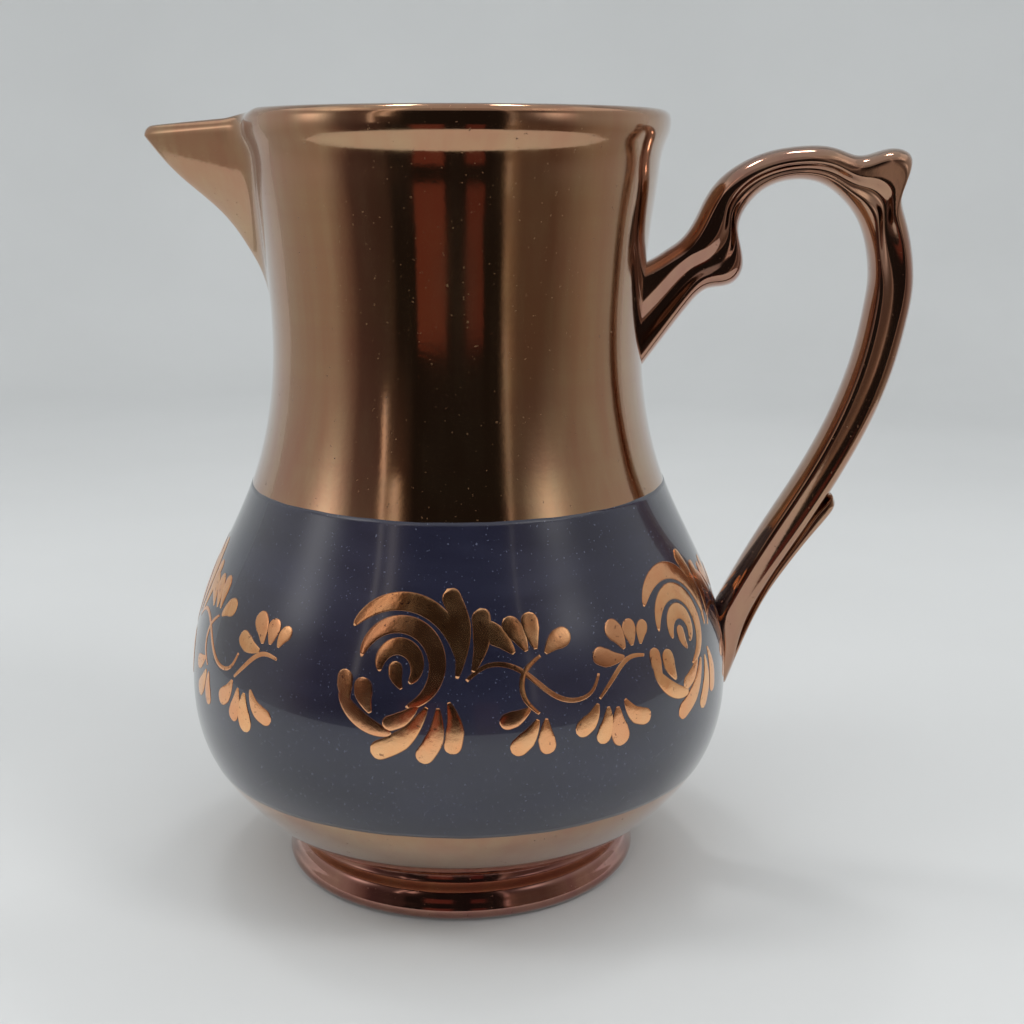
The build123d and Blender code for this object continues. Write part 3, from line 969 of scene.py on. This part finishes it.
def front_light(directions, heights):
    """Colour of the light from each height and direction in front of the jug."""
    up = heights[:, None]
    turn = directions[None, :]
    share = np.clip((up - BELOW_TOP) / (ABOVE_BOTTOM - BELOW_TOP), 0, 1)[..., None]
    below = light_stops(FRONT_BELOW, directions)
    above = light_stops(FRONT_ABOVE, directions)
    light = below * (1 - share) + above * share
    for first, last, top, colour in RED_CLOTHS:
        left = soft_step(turn, first, CLOTH_SIDE_SOFTNESS)
        right = soft_step(-turn, -last, CLOTH_SIDE_SOFTNESS)
        cover = left * right * soft_step(-up, -top, CLOTH_TOP_SOFTNESS)
        light = light + cover[..., None] * (np.array(colour) - light)
    for direction, half_width, lowest, strength in SLITS:
        slit = np.exp(-((turn - direction) / half_width) ** 2)
        slit = slit * soft_step(up, lowest, SLIT_SOFTNESS)
        light = light + strength * slit[..., None] * np.array(SLIT_TINT)
    for direction, height, half_width, half_height, strength in GLOWS:
        spread = ((turn - direction) / half_width) ** 2 + ((up - height) / half_height) ** 2
        light = light + strength * np.exp(-spread)[..., None]
    return light + ROOF_LIGHT * soft_step(up, ROOF_START, ROOF_SOFTNESS)[..., None]


def build_front():
    """Sheet seen only in reflections, which carries the light from in front of the jug."""
    directions = np.linspace(-FRONT_SPREAD, FRONT_SPREAD, FRONT_COLUMNS)
    heights = np.linspace(FRONT_BOTTOM, FRONT_TOP, FRONT_ROWS)
    angles = np.radians(directions) - math.pi / 2
    radius = np.full(FRONT_ROWS, FRONT_DISTANCE)
    radius, height = turned_rows(np.stack([radius, heights], axis=1), angles)
    faces = grid_faces(*radius.shape, wrap=False)
    front = make_piece("tent_front", turned(radius, height, angles) / MM, faces, front_material())
    attribute = front.data.attributes.new("front_light", "FLOAT_COLOR", "POINT")
    light = np.ones((*radius.shape, 4), np.float32)
    light[..., :3] = front_light(directions, heights)
    attribute.data.foreach_set("color", light.ravel())
    for ray in ("camera", "diffuse", "transmission", "volume_scatter", "shadow"):
        setattr(front, f"visible_{ray}", False)


WARM_WHITE = (1.0, 0.99, 0.97)
WHITE = (1.0, 1.0, 1.0)
# Soft lights: name, place, target, size, watts, colour, whether reflections show it
LIGHTS = [
    ("roof", (0, -0.15, 1.05), (0, -0.05, 0), (1.1, 1.1), 3.5, WARM_WHITE, False),
    ("fill", (0, -0.70, 0.40), (0, 0, 0.02), (0.9, 0.5), 1.2, WARM_WHITE, False),
    ("lamp_left", (-0.16, 0.18, 0.85), (0, 0, 0.1), (0.12, 0.05), 0.5, WHITE, True),
    ("lamp_right", (0.14, 0.20, 0.85), (0, 0, 0.1), (0.12, 0.05), 0.5, WHITE, True),
    ("side_left", (-0.51, -0.17, 0.66), (0, 0, 0.07), (0.22, 0.22), 1.0, WHITE, True),
    ("side_right", (0.44, -0.31, 0.66), (0, 0, 0.07), (0.22, 0.22), 1.2, WHITE, True),
]
SKY_COLOUR = (0.92, 0.96, 1.0, 1)
SKY_STRENGTH = 0.60


def add_area_light(name, place, target, size, power, colour, mirrored):
    """A soft rectangular light that points at a target."""
    light = bpy.data.lights.new(name, "AREA")
    light.shape = "RECTANGLE"
    light.size, light.size_y = size
    light.energy = power
    light.color = colour
    lamp = bpy.data.objects.new(name, light)
    lamp.location = place
    lamp.rotation_mode = "QUATERNION"
    lamp.rotation_quaternion = (Vector(target) - Vector(place)).to_track_quat("-Z", "Y")
    lamp.visible_glossy = mirrored
    bpy.context.scene.collection.objects.link(lamp)


def build_lights():
    """A broad roof light, a low fill from the front, small lamps and a faint sky."""
    for light in LIGHTS:
        add_area_light(*light)
    world = bpy.data.worlds.new("tent_air")
    bpy.context.scene.world = world
    world.use_nodes = True
    background = world.node_tree.nodes["Background"]
    background.inputs["Color"].default_value = SKY_COLOUR
    background.inputs["Strength"].default_value = SKY_STRENGTH


CAMERA_PLACE = (0.01065, -0.2941, 0.1412)
CAMERA_PITCH = 13.29
CAMERA_LENS = 52.73
CAMERA_SENSOR = 36.0


def build_camera():
    """The camera at the height and pitch of the reference view."""
    data = bpy.data.cameras.new("camera")
    data.sensor_width = CAMERA_SENSOR
    data.lens = CAMERA_LENS
    data.clip_start = 0.01
    camera = bpy.data.objects.new("camera", data)
    camera.location = CAMERA_PLACE
    camera.rotation_euler = (math.radians(90 - CAMERA_PITCH), 0, 0)
    bpy.context.scene.collection.objects.link(camera)
    bpy.context.scene.camera = camera


bpy.context.scene.view_settings.view_transform = "Standard"
build_camera()
build_lights()
build_tent()
build_front()

build_jug(jug_material())
build_foot(lustre_material("foot_lustre_pink", FOOT_COPPER))
build_band(cobalt_material())
strokes_material = painted_material()
for spray_number, rose_angle in enumerate(ROSE_ANGLES, start=1):
    build_spray(spray_number, rose_angle, strokes_material)
build_handle(lustre_material("handle_copper_lustre", HANDLE_COPPER))
